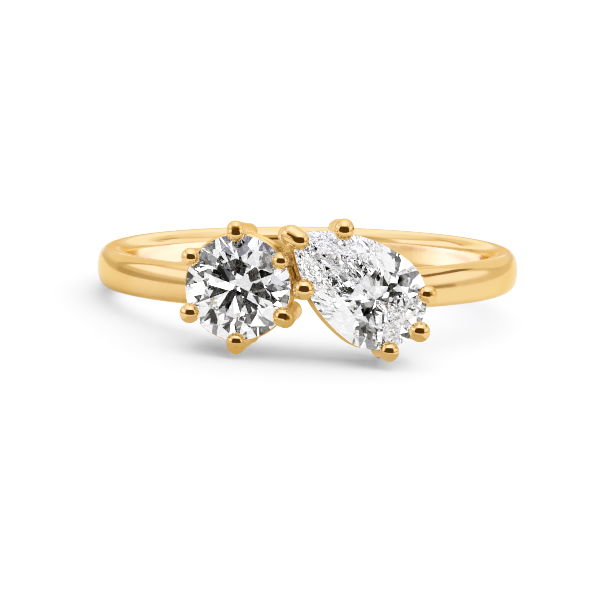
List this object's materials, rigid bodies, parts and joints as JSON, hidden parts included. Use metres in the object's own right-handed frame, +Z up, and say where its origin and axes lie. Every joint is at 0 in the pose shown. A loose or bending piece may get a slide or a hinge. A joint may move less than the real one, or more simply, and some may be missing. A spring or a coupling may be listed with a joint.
{
  "type": "two-stone diamond ring",
  "caption": "Plain rounded gold band with a round and a pear-cut diamond side by side, each held in a basket of ball-tipped claws.",
  "frame": {"origin": "centre of the finger hole, on its axis and at the middle of the band's width", "axes": "+Z up with the ring lying on its side as it rests, -Y towards the stones and +Y towards the back of the band, +X to the side that the pear-cut stone is on"},
  "size_m": [0.0198, 0.0232, 0.0069],
  "materials": {
    "gold": "polished yellow gold",
    "diamond": "clear, polished facets"
  },
  "bodies": {
    "root": {"ring_mounting": "gold", "round_diamond": "diamond", "pear_diamond": "diamond"}
  },
  "joints": []
}
